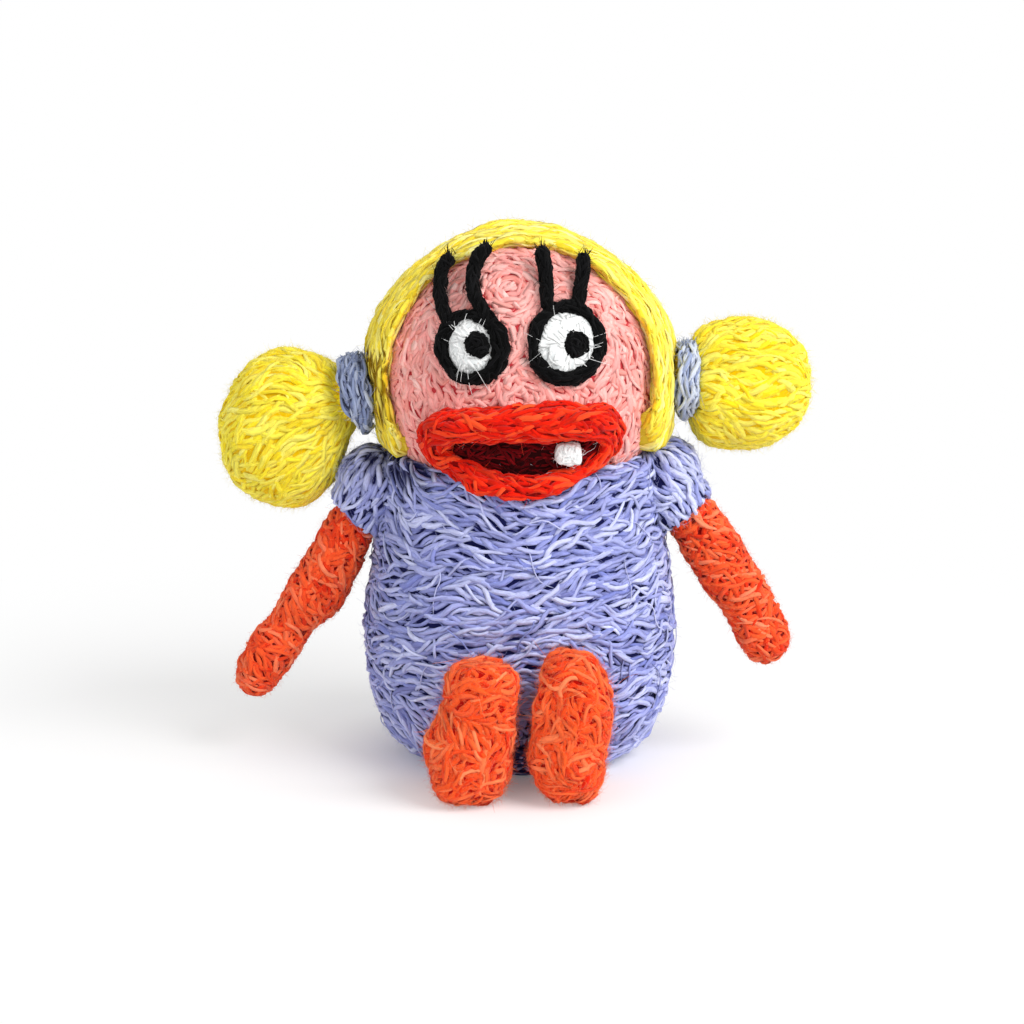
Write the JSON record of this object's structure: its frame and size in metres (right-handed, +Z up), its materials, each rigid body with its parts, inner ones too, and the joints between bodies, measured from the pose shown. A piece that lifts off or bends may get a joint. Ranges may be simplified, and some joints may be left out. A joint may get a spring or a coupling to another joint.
{
  "type": "felt doll ornament",
  "caption": "Small felt doll with a barrel torso, round head, hair cap, two tied hair bunches, sleeved arms and upturned feet, each on its own joint.",
  "frame": {"origin": "on the floor, under the middle of the torso's flat seat", "axes": "+Z up, the doll faces -Y, +X towards the doll's own left hand; X is the widest way, from one hair bunch to the other"},
  "size_m": [0.1098, 0.0652, 0.1],
  "materials": {
    "dress": "matted felted yarn, long strands laid mostly round the body",
    "skin": "matted felted yarn in short stitches and swirls",
    "hair": "long felted yarn strands",
    "limb": "criss-cross felted yarn",
    "lip": "felted yarn rolled along the lips",
    "lining": "flat dark felt",
    "black": "needle-felted wool with frayed ends",
    "white": "smooth needle-felted wool",
    "core": "raw wool stuffing",
    "wire": "bare drawn wire"
  },
  "bodies": {
    "torso": {"dress": "dress", "torso_stuffing": "core", "head": "skin", "head_stuffing": "core", "hair_cap": "hair", "spine_wire": "wire", "hip_wire": "wire", "lips": "lip", "mouth_lining": "lining", "tooth": "white", "eye_ring_right": "black", "eye_ring_left": "black", "eye_white_right": "white", "eye_white_left": "white", "pupil_right": "black", "pupil_left": "black", "lash_right_outer": "black", "lash_right_inner": "black", "lash_left_inner": "black", "lash_left_outer": "black", "hair_tie_right": "dress", "hair_tie_left": "dress"},
    "shoulder_right": {"shoulder_wire_right": "wire"},
    "arm_right": {"sleeve_right": "dress", "arm_right": "limb", "arm_wire_right": "wire"},
    "leg_right": {"leg_right": "limb"},
    "bunch_right": {"hair_bunch_right": "hair"},
    "shoulder_left": {"shoulder_wire_left": "wire"},
    "arm_left": {"sleeve_left": "dress", "arm_left": "limb", "arm_wire_left": "wire"},
    "leg_left": {"leg_left": "limb"},
    "bunch_left": {"hair_bunch_left": "hair"}
  },
  "joints": [
    {"name": "shoulder_right_swing", "type": "hinge", "parent": "torso", "child": "shoulder_right", "pos_m": [-0.0271, -0.002, 0.0497], "axis": [-1, 0, 0], "range_deg": [-30, 75]},
    {"name": "arm_right_raise", "type": "hinge", "parent": "shoulder_right", "child": "arm_right", "pos_m": [-0.0271, -0.002, 0.0497], "axis": [0, 1, 0], "range_deg": [0, 15]},
    {"name": "leg_right_swing", "type": "hinge", "parent": "torso", "child": "leg_right", "pos_m": [-0.0083, -0.0215, 0.0085], "axis": [1, 0, 0], "range_deg": [-4, 35]},
    {"name": "bunch_right_bend", "type": "hinge", "parent": "torso", "child": "bunch_right", "pos_m": [-0.0294, -0.002, 0.0673], "axis": [0, 1, 0], "range_deg": [0, 10], "stiffness_Nm_per_rad": 0.05},
    {"name": "shoulder_left_swing", "type": "hinge", "parent": "torso", "child": "shoulder_left", "pos_m": [0.0271, -0.002, 0.0497], "axis": [-1, 0, 0], "range_deg": [-30, 75]},
    {"name": "arm_left_raise", "type": "hinge", "parent": "shoulder_left", "child": "arm_left", "pos_m": [0.0271, -0.002, 0.0497], "axis": [0, -1, 0], "range_deg": [0, 15]},
    {"name": "leg_left_swing", "type": "hinge", "parent": "torso", "child": "leg_left", "pos_m": [0.0083, -0.0215, 0.0085], "axis": [1, 0, 0], "range_deg": [-4, 35]},
    {"name": "bunch_left_bend", "type": "hinge", "parent": "torso", "child": "bunch_left", "pos_m": [0.0299, -0.001, 0.0696], "axis": [0, -1, 0], "range_deg": [-6, 10], "stiffness_Nm_per_rad": 0.05}
  ]
}
